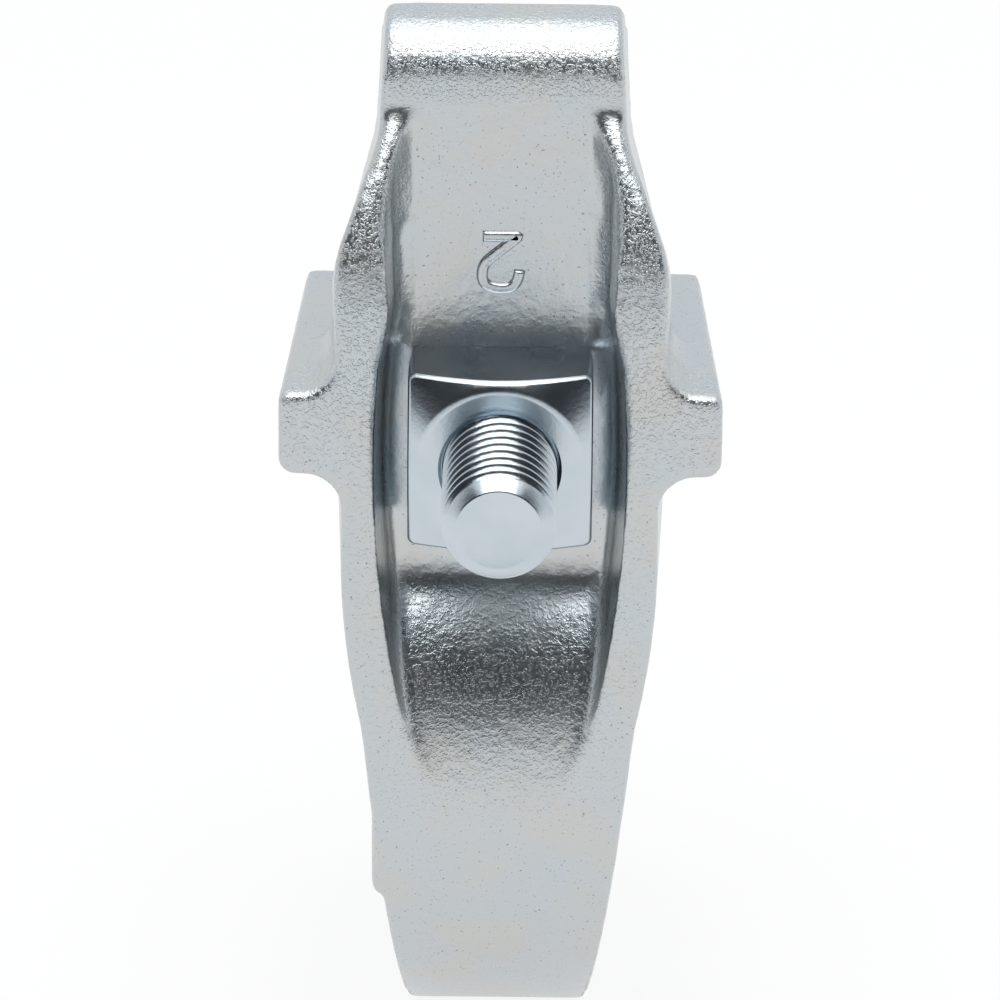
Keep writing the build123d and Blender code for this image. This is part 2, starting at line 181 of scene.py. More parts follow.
class ClampFastenerSettings(bpy.types.PropertyGroup):
    """Thread and finish of the bolt and the square nut."""

    pitch: bpy.props.FloatProperty(
        name="Pitch",
        description="Distance from one thread crest to the next, 13 to the inch",
        default=25.4 / 13 * MM,
        unit="LENGTH",
    )
    thread_length: bpy.props.FloatProperty(
        name="Thread Length",
        description="Length of the threaded part of the bolt",
        default=44.0 * MM,
        unit="LENGTH",
    )
    thread_depth: bpy.props.FloatProperty(
        name="Thread Depth",
        description="Depth of the thread from crest to root",
        default=1.15 * MM,
        unit="LENGTH",
    )
    nut_face: bpy.props.FloatProperty(
        name="Nut Face",
        description="Diameter of the flat ring on the front of the nut",
        default=18.4 * MM,
        unit="LENGTH",
    )
    nut_bore: bpy.props.FloatProperty(
        name="Nut Bore",
        description="Diameter of the bore that the bolt's crests run in",
        default=12.8 * MM,
        unit="LENGTH",
    )
    nut_countersink: bpy.props.FloatProperty(
        name="Nut Countersink",
        description="Width of the cone at the mouth of the bore",
        default=0.45 * MM,
        unit="LENGTH",
    )
    nut_chamfer: bpy.props.FloatProperty(
        name="Nut Chamfer",
        description="Slope of the cone round the flat ring",
        default=radians(27.0),
        subtype="ANGLE",
    )
    nut_corner: bpy.props.FloatProperty(
        name="Nut Corner",
        description="Width of the worn part of the nut's long corners",
        default=0.8 * MM,
        unit="LENGTH",
    )
    nut_rim: bpy.props.FloatProperty(
        name="Nut Rim",
        description="Width of the rounding along the rims of the nut's faces",
        default=0.45 * MM,
        unit="LENGTH",
    )
    nut_steps: bpy.props.IntProperty(
        name="Nut Steps",
        description="Facets round the turned blank of the nut",
        default=144,
    )
    end_chamfer: bpy.props.FloatProperty(
        name="End Chamfer",
        description="Height of the cone on the threaded end",
        default=1.6 * MM,
        unit="LENGTH",
    )
    end_land: bpy.props.FloatProperty(
        name="End Land",
        description="Part of the cone that the first crest of the thread covers",
        default=0.45 * MM,
        unit="LENGTH",
    )
    steel: bpy.props.FloatVectorProperty(
        name="Plated Steel",
        description="Colour of the bright zinc on the bolt and nut",
        size=4,
        subtype="COLOR",
        default=linear("#C9D2D8"),
    )


class ClampStudioSettings(bpy.types.PropertyGroup):
    """Camera and light of the studio."""

    turn: bpy.props.FloatProperty(
        name="Turn",
        description="How far the camera stands to the right of the clamp's front",
        default=radians(0.25),
        subtype="ANGLE",
    )
    height: bpy.props.FloatProperty(
        name="Elevation",
        description="How far the camera looks down",
        default=radians(23.0),
        subtype="ANGLE",
    )
    roll: bpy.props.FloatProperty(
        name="Roll",
        description="Tilt of the camera about its line of sight",
        default=radians(0.49),
        subtype="ANGLE",
    )
    distance: bpy.props.FloatProperty(
        name="Distance",
        description="Distance of the camera from the point that it looks at",
        default=1.0,
        unit="LENGTH",
    )
    focal_length: bpy.props.FloatProperty(
        name="Focal Length",
        description="Focal length on a sensor 36 mm wide",
        default=322.55,
        unit="CAMERA",
    )
    lamp_distance: bpy.props.FloatProperty(
        name="Lamp Distance",
        description="Distance of the soft boxes' edges from the clamp",
        default=0.8,
        unit="LENGTH",
    )
    lamp_width: bpy.props.FloatProperty(
        name="Lamp Width",
        description="Width of the soft boxes",
        default=0.75,
        unit="LENGTH",
    )
    front_glow: bpy.props.FloatProperty(
        name="Front Glow",
        description="Brightness of the front soft box, where 1 shows as white",
        default=2.3,
    )
    top_glow: bpy.props.FloatProperty(
        name="Top Glow",
        description="Brightness of the top soft box, where 1 shows as white",
        default=1.3,
    )
    floor_colour: bpy.props.FloatVectorProperty(
        name="Floor",
        description="Colour of the floor",
        size=4,
        subtype="COLOR",
        default=linear("#F2F2F2"),
    )
    floor_white: bpy.props.FloatProperty(
        name="Floor White",
        description="Share of the floor that shows as plain white, over its shadows",
        default=0.85,
        subtype="FACTOR",
    )
    room_pale: bpy.props.FloatVectorProperty(
        name="Lit Room",
        description="Colour of the room beside and behind the clamp",
        size=4,
        subtype="COLOR",
        default=linear("#EEF1F4"),
    )
    room_dark: bpy.props.FloatVectorProperty(
        name="Unlit Room",
        description="Colour of the room in front, which the plating reflects as dark",
        size=4,
        subtype="COLOR",
        default=linear("#20252B"),
    )


def node(tree, kind, settings=None, **links):
    """Adds a node, with its settings and, by input name or _number, its values and links."""
    made = tree.nodes.new(kind)
    for name, value in (settings or {}).items():
        setattr(made, name, value)
    for name, value in links.items():
        key = name.replace("_", " ") if name.replace("_", " ") in made.inputs else int(name[1:])
        if isinstance(value, bpy.types.NodeSocket):
            tree.links.new(value, made.inputs[key])
        else:
            made.inputs[key].default_value = value
    return made


def material(name):
    """A new material, its node tree and its shader, which feeds the output."""
    made = bpy.data.materials.new(name)
    made.use_nodes = True
    tree = made.node_tree
    tree.nodes.clear()
    shader = tree.nodes.new("ShaderNodeBsdfPrincipled")
    output = tree.nodes.new("ShaderNodeOutputMaterial")
    tree.links.new(shader.outputs["BSDF"], output.inputs["Surface"])
    return made, tree, shader


def show(name, mesh, body, cad_node, finish):
    """Links a finished mesh as a piece that rides on a body."""
    piece = bpy.data.objects.new(name, mesh)
    bpy.context.scene.collection.objects.link(piece)
    mesh.materials.clear()
    mesh.materials.append(finish)
    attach(piece, body)
    if cad_node:
        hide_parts(cad_node)
    return piece


def sand_cast_zinc(settings):
    # Malleable iron cast in sand, tumbled and zinc plated. The sand leaves single raised
    # grains that sparkle where the light meets them, over shallow lumps that bend the
    # reflections. The clear passivation film drifts between straw and a cold blue.
    made, tree, shader = material("Zinc-plated sand casting")
    place = node(tree, "ShaderNodeTexCoord").outputs["Object"]
    # Drifts of the film are 9 mm across
    drift = node(tree, "ShaderNodeTexNoise", Vector=place, Scale=1 / (9 * MM), Detail=3.0)
    tint = node(tree, "ShaderNodeValToRGB", Fac=drift.outputs["Fac"])
    ramp = tint.color_ramp
    ramp.elements[0].position = 0.38
    ramp.elements[0].color = settings.zinc_blue
    ramp.elements[1].position = 0.62
    ramp.elements[1].color = settings.zinc_straw
    ramp.elements.new(0.5).color = settings.zinc
    # Rare dark specks between the grains, about 0.3 mm across
    specks = node(
        tree, "ShaderNodeTexNoise", Vector=place, Scale=1 / (0.3 * MM), Detail=1.0, Roughness=0.5
    )
    clean = node(
        tree, "ShaderNodeMapRange", Value=specks.outputs["Fac"], From_Min=0.22, From_Max=0.31
    ).outputs["Result"]
    film = node(
        tree,
        "ShaderNodeMix",
        COLOURS,
        Factor=clean,
        _6=linear("#7C8286"),
        _7=tint.outputs["Color"],
    )
    tree.links.new(film.outputs[2], shader.inputs["Base Color"])
    # Single grains stand out of a smoother ground
    grain = node(
        tree,
        "ShaderNodeTexNoise",
        Vector=place,
        Scale=1 / settings.grain_size,
        Detail=2.0,
        Roughness=0.6,
    )
    raised = node(
        tree, "ShaderNodeMapRange", SMOOTH, Value=grain.outputs["Fac"], From_Min=0.44, From_Max=0.66
    )
    # The grain is full on the ribs and the crown, and finer on the web, which lies deep in the
    # mould, and on the front of the hook
    parts = node(tree, "ShaderNodeSeparateXYZ", Vector=place)
    ribs, crown, arm = (
        node(
            tree,
            "ShaderNodeMapRange",
            SMOOTH,
            Value=parts.outputs[axis],
            From_Min=start * MM,
            From_Max=end * MM,
            To_Min=least,
        ).outputs["Result"]
        for axis, start, end, least in (("Y", -29.2, -30.6, 0), ("Z", 80, 83, 0), ("Z", 36, 54, 0.5))
    )
    proud = node(tree, "ShaderNodeMath", {"operation": "MAXIMUM"}, _0=ribs, _1=crown)
    strength = node(tree, "ShaderNodeMapRange", Value=proud.outputs[0], To_Min=0.18)
    strength = node(tree, "ShaderNodeMath", {"operation": "MULTIPLY"}, _0=strength.outputs[0], _1=arm)
    # Lumps that the tumbling has smoothed, 1.2 mm apart, lie under the grain
    lumps = node(tree, "ShaderNodeTexNoise", Vector=place, Scale=1 / (1.2 * MM), Detail=3.0)
    broad = node(
        tree, "ShaderNodeBump", Height=lumps.outputs["Fac"], Strength=1.0, Distance=0.06 * MM
    )
    fine = node(
        tree,
        "ShaderNodeBump",
        Height=raised.outputs["Result"],
        Strength=strength.outputs[0],
        Distance=0.04 * MM,
        Normal=broad.outputs["Normal"],
    )
    tree.links.new(fine.outputs["Normal"], shader.inputs["Normal"])
    gloss = node(tree, "ShaderNodeMapRange", Value=drift.outputs["Fac"], To_Min=0.24, To_Max=0.32)
    tree.links.new(gloss.outputs["Result"], shader.inputs["Roughness"])
    shader.inputs["Metallic"].default_value = 1.0
    return made


def bright_zinc(settings):
    # Cold-headed steel with rolled threads under bright zinc. It is smoother than the
    # castings, with faint scuffs and a bluish film.
    made, tree, shader = material("Bright zinc-plated steel")
    place = node(tree, "ShaderNodeTexCoord").outputs["Object"]
    # Drifts of the film are 5 mm across
    drift = node(tree, "ShaderNodeTexNoise", Vector=place, Scale=1 / (5 * MM), Detail=3.0)
    tint = node(tree, "ShaderNodeValToRGB", Fac=drift.outputs["Fac"])
    tint.color_ramp.elements[0].position = 0.35
    tint.color_ramp.elements[0].color = linear("#C2CCD3")
    tint.color_ramp.elements[1].position = 0.65
    tint.color_ramp.elements[1].color = settings.steel
    tree.links.new(tint.outputs["Color"], shader.inputs["Base Color"])
    # Scuffs from handling and tumbling, 0.5 mm apart
    scuffs = node(tree, "ShaderNodeTexNoise", Vector=place, Scale=1 / (0.5 * MM), Detail=4.0)
    bump = node(
        tree, "ShaderNodeBump", Height=scuffs.outputs["Fac"], Strength=1.0, Distance=0.012 * MM
    )
    tree.links.new(bump.outputs["Normal"], shader.inputs["Normal"])
    gloss = node(tree, "ShaderNodeMapRange", Value=drift.outputs["Fac"], To_Min=0.16, To_Max=0.26)
    tree.links.new(gloss.outputs["Result"], shader.inputs["Roughness"])
    shader.inputs["Metallic"].default_value = 1.0
    return made


def part_of(value):
    """Keeps a share between nothing and all."""
    return min(max(value, 0), 1)


def arm_width(z):
    """Half width of the arm at a height, in millimetres, with its bends eased."""
    total = 0
    for shift in (-2, 0, 2):
        at = min(max(z + shift, ARM_SIDES[0][0]), ARM_SIDES[-1][0])
        for (z0, w0), (z1, w1) in zip(ARM_SIDES, ARM_SIDES[1:]):
            if z0 <= at <= z1:
                total += w0 + (w1 - w0) * (at - z0) / (z1 - z0)
                break
    return total / 3


def swell_ribs(bm, settings):
    """Makes the arm wider in front than behind, between the shoulders and the crown."""
    # All in millimetres. The arm starts at the shoulder, and its core stays as it is
    shoulder = 50
    core = 10
    # The inner walls come in little by little: forwards from the web, upwards from beside the
    # nut, and inwards from the arm's outline
    web = -29
    wall_depth = 4
    wall_foot = 53
    wall_rise = 7
    wall_width = 3
    rear = settings.rib_rear / MM
    for vertex in bm.verts:
        x, y, z = (value / MM for value in vertex.co)
        if z < shoulder:
            continue
        edge = arm_width(z)
        # In front the outline rises, and behind it falls by half as much
        lean = settings.rib_lean * (rear - y) * (1 if y < rear else 0.5)
        change = arm_width(max(z - lean, shoulder)) - edge
        outward = change * part_of((abs(x) - core) / (edge - core))
        # The inner walls are steeper here than beside the nut
        inward = settings.rib_inner / MM * part_of((web - y) / wall_depth)
        inward = inward * part_of((z - wall_foot) / wall_rise)
        inward = inward * part_of((edge - abs(x)) / wall_width)
        vertex.co.x += (outward - inward) * MM * (1 if x > 0 else -1)


def wear_down(bm, settings):
    """Rounds what the tumbling wears: the hooks' edges, the crown's ends, the recess's walls."""
    crown_foot, crown_inner = 84 * MM, 10 * MM
    # The recess's walls: from front to back, from low to high, from inside to outside
    wall_y, wall_z, wall_x = (-36 * MM, -27 * MM), (48 * MM, 80 * MM), (10 * MM, 15 * MM)
    hooks = [v for v in bm.verts if v.co.z < 0 and v.co.yz.length > settings.hook_inner]
    crown = [v for v in bm.verts if v.co.z > crown_foot and abs(v.co.x) > crown_inner]
    walls = [
        v
        for v in bm.verts
        if wall_y[0] < v.co.y < wall_y[1]
        and wall_z[0] < v.co.z < wall_z[1]
        and wall_x[0] < abs(v.co.x) < wall_x[1]
    ]
    for verts, times in ((hooks, 1), (crown, 2), (walls, 2)):
        for _ in range(times * settings.hook_wear):
            bmesh.ops.smooth_vert(
                bm, verts=verts, factor=0.5, use_axis_x=True, use_axis_y=True, use_axis_z=True
            )


def cast_skin(name, settings):
    """Mesh of a casting's solid in even faces, with soft edges and an uneven skin."""
    bm = bmesh.new()
    bm.from_mesh(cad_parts[name].data)
    bmesh.ops.remove_doubles(bm, verts=bm.verts, dist=0.001 * MM)
    rough = bpy.data.meshes.new(name + "_cast")
    bm.to_mesh(rough)
    bm.free()
    work = bpy.data.objects.new(name + "_work", rough)
    bpy.context.scene.collection.objects.link(work)
    remesh = work.modifiers.new("Even faces", "REMESH")
    remesh.mode = "VOXEL"
    remesh.voxel_size = settings.body_size
    smooth = work.modifiers.new("Soft edges", "SMOOTH")
    smooth.factor = 0.5
    smooth.iterations = 3
    lumps = bpy.data.textures.new(name + "_skin", "CLOUDS")
    lumps.noise_scale = settings.skin_size
    lumps.noise_depth = 2
    skin = work.modifiers.new("Uneven skin", "DISPLACE")
    skin.texture = lumps
    skin.texture_coords = "LOCAL"
    skin.strength = settings.skin_depth
    skin.mid_level = 0.5
    shaped = work.evaluated_get(bpy.context.evaluated_depsgraph_get())
    mesh = bpy.data.meshes.new_from_object(shaped)
    bpy.data.objects.remove(work)
    return mesh


def cast_copy(name, settings):
    """Copy of a casting's solid as it comes out of the sand and the tumbler, inside its box."""
    low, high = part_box(name)
    mesh = cast_skin(name, settings)
    bm = bmesh.new()
    bm.from_mesh(mesh)
    if name == "front_jaw":
        swell_ribs(bm, settings)
    wear_down(bm, settings)
    for vertex in bm.verts:
        vertex.co = [min(max(vertex.co[i], low[i]), high[i]) for i in range(3)]
    bm.to_mesh(mesh)
    bm.free()
    mesh.shade_smooth()
    return mesh


class OBJECT_OT_clamp_castings(bpy.types.Operator):
    """Cast front and rear jaw with a sand-cast, zinc-plated skin"""

    bl_idname = "object.clamp_castings"
    bl_label = "Castings"

    def execute(self, context):
        settings = context.scene.clamp_castings
        finish = sand_cast_zinc(settings)
        for name, body in (("front_jaw", "front"), ("rear_jaw", "rear")):
            show(name + "_casting", cast_copy(name, settings), body, name, finish)
        return {"FINISHED"}


class OBJECT_OT_clamp_numeral(bpy.types.Operator):
    """Raised trade size numeral on the web, read from the conduit's side"""

    bl_idname = "object.clamp_numeral"
    bl_label = "Size Numeral"

    def execute(self, context):
        settings = context.scene.clamp_castings
        high = settings.numeral_height - settings.numeral_stroke
        wide = settings.numeral_width - settings.numeral_stroke
        # Height of the ridge's flat top over its middle line
        top = 0.36 * MM
        stroke = bpy.data.curves.new("numeral_line", "CURVE")
        stroke.dimensions = "3D"
        line = stroke.splines.new("NURBS")
        # The line from end to end, in shares of its width and height
        turns = (
            (-0.5, 0.68),
            (-0.45, 0.97),
            (0.0, 1.06),
            (0.52, 0.95),
            (0.5, 0.55),
            (0.1, 0.32),
            (-0.46, 0.0),
            (-0.46, 0.0),
            (0.0, 0.0),
            (0.5, 0.0),
        )
        line.points.add(len(turns) - 1)
        for point, (across, up) in zip(line.points, turns):
            point.co = (across * wide, 0, up * high, 1)
        line.order_u = 3
        line.use_endpoint_u = True
        stroke.bevel_depth = settings.numeral_stroke / 2
        stroke.bevel_resolution = 4
        stroke.resolution_u = 10
        stroke.use_fill_caps = True
        drawn = bpy.data.objects.new("numeral_work", stroke)
        mesh = bpy.data.meshes.new_from_object(drawn)
        bpy.data.objects.remove(drawn)
        bm = bmesh.new()
        bm.from_mesh(mesh)
        bmesh.ops.remove_doubles(bm, verts=bm.verts, dist=0.01 * MM)
        # The pattern letter is a low ridge, and stands upside down between nut and crown
        bmesh.ops.scale(bm, vec=(1, 0.75, 1), verts=bm.verts)
        for vertex in bm.verts:
            vertex.co.y = max(vertex.co.y, -top)
        bmesh.ops.rotate(bm, cent=(0, 0, 0), matrix=Matrix.Rotation(pi, 3, "Y"), verts=bm.verts)
        bmesh.ops.translate(bm, vec=NUMERAL_FOOT, verts=bm.verts)
        bmesh.ops.recalc_face_normals(bm, faces=bm.faces)
        bm.to_mesh(mesh)
        bm.free()
        mesh.shade_smooth()
        finish = bpy.data.materials["Zinc-plated sand casting"]
        show("size_numeral", mesh, "front", None, finish)
        return {"FINISHED"}


def turned(profile, axis_z, steps=96):
    """Spins a profile of (y, radius) pairs round the bolt's axis."""
    bm = bmesh.new()
    corners = [bm.verts.new((0, y, axis_z + radius)) for y, radius in profile]
    edges = [bm.edges.new(pair) for pair in zip(corners, corners[1:])]
    bmesh.ops.spin(
        bm,
        geom=corners + edges,
        cent=(0, 0, axis_z),
        axis=(0, 1, 0),
        angle=2 * pi,
        steps=steps,
        use_merge=True,
    )
    bmesh.ops.remove_doubles(bm, verts=bm.verts, dist=0.001 * MM)
    bmesh.ops.recalc_face_normals(bm, faces=bm.faces)
    return bm


def rear_part(name, plane_y):
    """Copy of a solid's mesh behind a plane across the bolt, with its corners eased."""
    bm = bmesh.new()
    bm.from_mesh(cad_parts[name].data)
    bmesh.ops.remove_doubles(bm, verts=bm.verts, dist=0.001 * MM)
    bmesh.ops.bisect_plane(
        bm,
        geom=bm.verts[:] + bm.edges[:] + bm.faces[:],
        plane_co=(0, plane_y, 0),
        plane_no=(0, 1, 0),
        clear_inner=True,
    )
    ease_corners(bm, radians(24), 0.25 * MM)
    mesh = bpy.data.meshes.new(name + "_rear")
    bm.to_mesh(mesh)
    bm.free()
    return mesh


def ease_corners(bm, angle, width):
    """Joins flat faces and rounds the edges that are sharper than an angle."""
    bmesh.ops.dissolve_limit(bm, angle_limit=radians(0.5), verts=bm.verts[:], edges=bm.edges[:])
    sharp = [e for e in bm.edges if len(e.link_faces) == 2 and e.calc_face_angle() > angle]
    round_edges(bm, sharp, width)


def round_edges(bm, edges, width, clamp=True):
    """Rounds edges with three facets."""
    bmesh.ops.bevel(
        bm,
        geom=edges,
        offset=width,
        segments=3,
        profile=0.5,
        affect="EDGES",
        material=-1,
        clamp_overlap=clamp,
    )


def rolled_thread(settings, end_y, axis_z):
    """Helical thread, cut square behind the bolt's end and running out on the shank."""
    pitch = settings.pitch
    root = BOLT_RADIUS - settings.thread_depth
    thread_end = end_y + settings.thread_length
    start = end_y - pitch
    # The thread's end lies inside the turned end, and its cone just under the turned one
    behind, under = 0.3 * MM, 0.03 * MM
    steps = 72
    turns = int(settings.thread_length / pitch) + 2
    bm = bmesh.new()
    # Half a pitch of the thread: rounded root, flank, narrow rounded crest
    rise = (
        (0.0, root),
        (0.145, root + 0.02 * MM),
        (0.35, BOLT_RADIUS - 0.345 * MM),
        (0.41, BOLT_RADIUS - 0.115 * MM),
        (0.45, BOLT_RADIUS - 0.045 * MM),
        (0.485, BOLT_RADIUS - 0.008 * MM),
    )
    section = rise + tuple((1 - share, r) for share, r in reversed(rise))
    corners = [bm.verts.new((0, start + share * pitch, axis_z + r)) for share, r in section]
    edges = [bm.edges.new(pair) for pair in zip(corners, corners[1:])]
    bmesh.ops.spin(
        bm,
        geom=corners + edges,
        cent=(0, 0, axis_z),
        axis=(0, 1, 0),
        dvec=(0, pitch / steps, 0),
        angle=2 * pi * turns,
        steps=steps * turns,
    )
    bmesh.ops.remove_doubles(bm, verts=bm.verts, dist=0.002 * MM)
    for plane_y, clear_inner in ((end_y + behind, True), (thread_end, False)):
        bmesh.ops.bisect_plane(
            bm,
            geom=bm.verts[:] + bm.edges[:] + bm.faces[:],
            plane_co=(0, plane_y, 0),
            plane_no=(0, 1, 0),
            clear_inner=clear_inner,
            clear_outer=not clear_inner,
        )
    for vertex in bm.verts:
        off = Vector((vertex.co.x, 0, vertex.co.z - axis_z))
        cone = BOLT_RADIUS - settings.end_chamfer + (vertex.co.y - end_y) - under
        runout = root + (BOLT_RADIUS - root) * (1 - (thread_end - vertex.co.y) / (2 * pitch))
        length = min(max(off.length, runout), BOLT_RADIUS, cone)
        vertex.co += off * (length / off.length - 1)
    rim = [e for e in bm.edges if e.is_boundary and e.verts[0].co.y < end_y + pitch]
    bmesh.ops.holes_fill(bm, edges=rim, sides=0)
    bmesh.ops.recalc_face_normals(bm, faces=bm.faces)
    return bm


def turned_end(settings, end_y, axis_z):
    """The bolt's end: a shallow dish, a round rim, a cone, and a neck down to the thread's root."""
    flat = BOLT_RADIUS - settings.end_chamfer
    lip = settings.end_chamfer - settings.end_land
    root = BOLT_RADIUS - settings.thread_depth
    # The dish's depth and the width of its slope, the round rim's width, and the lip of the
    # first crest
    dish = 0.1 * MM
    slope = 0.3 * MM
    rim = 0.12 * MM
    crest = 0.1 * MM
    bm = turned(
        (
            (end_y + dish, 0),
            (end_y + dish, flat - rim - slope),
            (end_y, flat - rim),
            (end_y + rim / 4, flat),
            (end_y + rim, flat + rim),
            (end_y + lip, flat + lip),
            (end_y + lip + crest, flat + lip),
            (end_y + settings.pitch, root - crest),
            (end_y + settings.pitch, 0),
        ),
        axis_z,
    )
    mesh = bpy.data.meshes.new("bolt_tip")
    bm.to_mesh(mesh)
    bm.free()
    return mesh


class OBJECT_OT_clamp_bolt(bpy.types.Operator):
    """Long hex-head bolt with a rolled thread"""

    bl_idname = "object.clamp_bolt"
    bl_label = "Bolt"

    def execute(self, context):
        settings = context.scene.clamp_fasteners
        low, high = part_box("bolt")
        # The hex head is as wide as the box, so the shank's axis lies in its middle
        axis_z = (low.z + high.z) / 2
        bm = rolled_thread(settings, low.y, axis_z)
        bm.from_mesh(turned_end(settings, low.y, axis_z))
        # Shank and hex head are the solid's own, behind the thread
        bm.from_mesh(rear_part("bolt", low.y + settings.thread_length))
        bmesh.ops.remove_doubles(bm, verts=bm.verts, dist=0.002 * MM)
        mesh = bpy.data.meshes.new("bolt")
        bm.to_mesh(mesh)
        bm.free()
        mesh.shade_smooth()
        mesh.set_sharp_from_angle(angle=radians(32))
        finish = bright_zinc(settings)
        show("threaded_bolt", mesh, "screw", "bolt", finish)
        return {"FINISHED"}


class OBJECT_OT_clamp_nut(bpy.types.Operator):
    """Heavy square nut with a turned-off front face"""

    bl_idname = "object.clamp_nut"
    bl_label = "Square Nut"

    def execute(self, context):
        settings = context.scene.clamp_fasteners
        low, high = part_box("square_nut")
        axis_z = (low.z + high.z) / 2
        half = (high.x - low.x) / 2
        face = settings.nut_face / 2
        reach = 1.5 * half
        bore = settings.nut_bore / 2
        drop = (reach - face) * tan(settings.nut_chamfer)
        sink = settings.nut_countersink
        # A turned blank, then cut square on four sides
        bm = turned(
            (
                (low.y, bore + sink),
                (low.y, face),
                (low.y + drop, reach),
                (high.y, reach),
                (high.y, bore + sink),
                (high.y - sink, bore),
                (low.y + sink, bore),
                (low.y, bore + sink),
            ),
            axis_z,
            settings.nut_steps,
        )
        for side in ((1, 0, 0), (-1, 0, 0), (0, 0, 1), (0, 0, -1)):
            bmesh.ops.bisect_plane(
                bm,
                geom=bm.verts[:] + bm.edges[:] + bm.faces[:],
                plane_co=Vector((0, 0, axis_z)) + Vector(side) * half,
                plane_no=side,
                clear_outer=True,
            )
            bmesh.ops.holes_fill(bm, edges=[e for e in bm.edges if e.is_boundary], sides=0)
        # Slivers that the four cuts leave would break the roundings
        bmesh.ops.remove_doubles(bm, verts=bm.verts, dist=0.06 * MM)
        bmesh.ops.dissolve_limit(bm, angle_limit=radians(0.2), verts=bm.verts[:], edges=bm.edges[:])
        bmesh.ops.recalc_face_normals(bm, faces=bm.faces)
        # The four long corners are worn round first, then the rims of the faces
        corners = [
            e
            for e in bm.edges
            if e.calc_face_angle(0) > radians(80)
            and abs((e.verts[0].co - e.verts[1].co).normalized().y) > 0.9
            and (e.verts[0].co.xz - Vector((0, axis_z))).length > 1.2 * half
        ]
        round_edges(bm, corners, settings.nut_corner, clamp=False)
        rims = [
            e
            for e in bm.edges
            if e.calc_face_angle(0) > radians(15)
            and (e.verts[0].co.xz - Vector((0, axis_z))).length > bore + 1.5 * sink
            and max(v.co.y for v in e.verts) < high.y - settings.nut_corner
        ]
        round_edges(bm, rims, settings.nut_rim, clamp=False)
        mesh = bpy.data.meshes.new("nut")
        bm.to_mesh(mesh)
        bm.free()
        mesh.shade_smooth()
        mesh.set_sharp_from_angle(angle=radians(32))
        finish = bpy.data.materials["Bright zinc-plated steel"]
        piece = show("turned_square_nut", mesh, "front", "square_nut", finish)
        # Flat faces stay flat up to their rounded rims
        flat = piece.modifiers.new("Flat faces", "WEIGHTED_NORMAL")
        flat.keep_sharp = True
        return {"FINISHED"}


def pale_floor(settings):
    """A pale board under the clamp that shows white and keeps the shadow."""
    half, behind = 0.9, 0.25
    bm = bmesh.new()
    bmesh.ops.create_grid(bm, x_segments=1, y_segments=1, size=half)
    bmesh.ops.translate(bm, vec=(0, behind, cad_box[0][2]), verts=bm.verts)
    mesh = bpy.data.meshes.new("floor")
    bm.to_mesh(mesh)
    bm.free()
    floor = bpy.data.objects.new("floor", mesh)
    bpy.context.scene.collection.objects.link(floor)
    # Matt painted board: it has no gloss of its own, so only a soft shadow shows on it
    paper, tree, shader = material("Matt white board")
    shader.inputs["Base Color"].default_value = settings.floor_colour
    shader.inputs["Roughness"].default_value = 0.9
    rays = node(tree, "ShaderNodeLightPath").outputs
    seen = rays["Is Camera Ray"]
    for kind in ("Is Glossy Ray", "Is Transmission Ray"):
        seen = node(tree, "ShaderNodeMath", {"operation": "MAXIMUM"}, _0=seen, _1=rays[kind]).outputs[0]
    share = node(
        tree, "ShaderNodeMath", {"operation": "MULTIPLY"}, _0=seen, _1=settings.floor_white
    )
    glow = node(tree, "ShaderNodeEmission", Color=(1, 1, 1, 1), Strength=1.0)
    mix = node(
        tree, "ShaderNodeMixShader", _0=share.outputs[0], _1=shader.outputs[0], _2=glow.outputs[0]
    )
    tree.links.new(mix.outputs[0], tree.nodes["Material Output"].inputs["Surface"])
    mesh.materials.append(paper)


def studio_room(settings):
    """White behind the clamp for the camera, and for its plating a pale room, unlit in front."""
    world = bpy.data.worlds.new("Studio")
    bpy.context.scene.world = world
    world.use_nodes = True
    tree = world.node_tree
    tree.nodes.clear()
    direction = node(tree, "ShaderNodeTexCoord").outputs["Generated"]
    parts = node(tree, "ShaderNodeSeparateXYZ", Vector=direction)
    # The unlit part of the room lies in front, from the lamp down to just above the horizon
    ahead, below_lamp, above_horizon = (
        node(
            tree,
            "ShaderNodeMapRange",
            SMOOTH,
            Value=parts.outputs[axis],
            From_Min=pale,
            From_Max=dark,
        ).outputs["Result"]
        for axis, pale, dark in (("Y", -0.2, -0.45), ("Z", 0.72, 0.64), ("Z", 0.0, 0.14))
    )
    unlit = ahead
    for fade in (below_lamp, above_horizon):
        unlit = node(tree, "ShaderNodeMath", {"operation": "MULTIPLY"}, _0=unlit, _1=fade).outputs[0]
    room = node(
        tree, "ShaderNodeMix", COLOURS, Factor=unlit, _6=settings.room_pale, _7=settings.room_dark
    )
    lit = node(tree, "ShaderNodeBackground", Color=room.outputs[2], Strength=1.0)
    white = node(tree, "ShaderNodeBackground", Color=(1, 1, 1, 1), Strength=1.0)
    rays = node(tree, "ShaderNodeLightPath").outputs
    mix = node(
        tree, "ShaderNodeMixShader", _0=rays["Is Camera Ray"], _1=lit.outputs[0], _2=white.outputs[0]
    )
    node(tree, "ShaderNodeOutputWorld", Surface=mix.outputs[0])


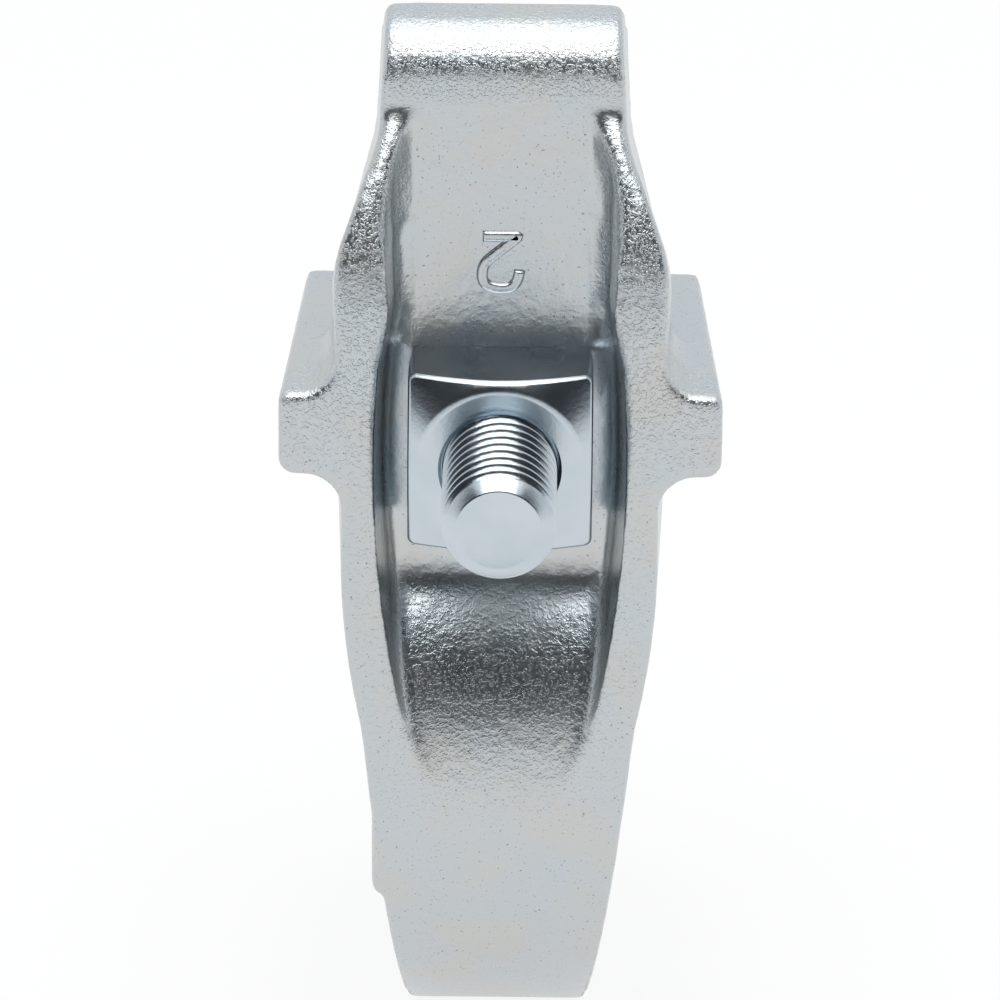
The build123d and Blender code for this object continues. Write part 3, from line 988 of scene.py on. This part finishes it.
def soft_boxes(settings):
    """A bright soft box up in front, and a paler one from there to past overhead."""
    # They lie on an arc round a point on the web, over the nut
    middle = Vector((0, -0.03, 0.06))
    for name, low_angle, high_angle, glow in (
        ("Front soft box", radians(43), radians(66), settings.front_glow),
        ("Top soft box", radians(66), radians(125), settings.top_glow),
    ):
        ends = [
            middle + Vector((0, -cos(angle), sin(angle))) * settings.lamp_distance
            for angle in (low_angle, high_angle)
        ]
        lamp = bpy.data.lights.new(name, "AREA")
        lamp.shape = "RECTANGLE"
        lamp.size = settings.lamp_width
        lamp.size_y = (ends[1] - ends[0]).length
        # A lamp this strong glows at the set level
        lamp.energy = glow * pi * lamp.size * lamp.size_y
        box = bpy.data.objects.new(name, lamp)
        bpy.context.scene.collection.objects.link(box)
        centre = (ends[0] + ends[1]) / 2
        facing = (centre - middle).to_track_quat("Z", "Y").to_matrix().to_4x4()
        box.matrix_world = Matrix.Translation(centre) @ facing


def front_camera(settings):
    """The camera in front of the clamp, looking down on it."""
    # It looks at the lower half of the nut
    aim = Vector((0.01, -32.0, 35.09)) * MM
    back = Vector(
        (
            sin(settings.turn) * cos(settings.height),
            -cos(settings.turn) * cos(settings.height),
            sin(settings.height),
        )
    )
    lens = bpy.data.cameras.new("Camera")
    lens.sensor_width = 36
    lens.lens = settings.focal_length
    lens.clip_start = 0.01
    camera = bpy.data.objects.new("Camera", lens)
    bpy.context.scene.collection.objects.link(camera)
    look = back.to_track_quat("Z", "Y").to_matrix() @ Matrix.Rotation(settings.roll, 3, "Z")
    camera.matrix_world = Matrix.Translation(aim + back * settings.distance) @ look.to_4x4()
    return camera


class OBJECT_OT_clamp_studio(bpy.types.Operator):
    """Pale floor, a room that is unlit in front, two soft boxes, and the camera"""

    bl_idname = "object.clamp_studio"
    bl_label = "Studio"

    def execute(self, context):
        settings = context.scene.clamp_studio
        pale_floor(settings)
        studio_room(settings)
        soft_boxes(settings)
        context.scene.camera = front_camera(settings)
        context.scene.view_settings.view_transform = "Standard"
        return {"FINISHED"}


class VIEW3D_PT_conduit_clamp(bpy.types.Panel):
    bl_label = "Conduit Clamp"
    bl_space_type = "VIEW_3D"
    bl_region_type = "UI"
    bl_category = "Conduit Clamp"

    def draw(self, context):
        column = self.layout.column()
        for operator in OPERATORS:
            column.operator(operator.bl_idname)


OPERATORS = (
    OBJECT_OT_clamp_castings,
    OBJECT_OT_clamp_numeral,
    OBJECT_OT_clamp_bolt,
    OBJECT_OT_clamp_nut,
    OBJECT_OT_clamp_studio,
)
SETTINGS = (
    ("clamp_castings", ClampCastingSettings),
    ("clamp_fasteners", ClampFastenerSettings),
    ("clamp_studio", ClampStudioSettings),
)


def register():
    for name, group in SETTINGS:
        bpy.utils.register_class(group)
        setattr(bpy.types.Scene, name, bpy.props.PointerProperty(type=group))
    for operator in OPERATORS:
        bpy.utils.register_class(operator)
    bpy.utils.register_class(VIEW3D_PT_conduit_clamp)


def unregister():
    bpy.utils.unregister_class(VIEW3D_PT_conduit_clamp)
    for operator in reversed(OPERATORS):
        bpy.utils.unregister_class(operator)
    for name, group in reversed(SETTINGS):
        delattr(bpy.types.Scene, name)
        bpy.utils.unregister_class(group)


def main():
    register()
    bpy.ops.object.clamp_castings()
    bpy.ops.object.clamp_numeral()
    bpy.ops.object.clamp_bolt()
    bpy.ops.object.clamp_nut()
    bpy.ops.object.clamp_studio()


if __name__ == "__main__":
    main()
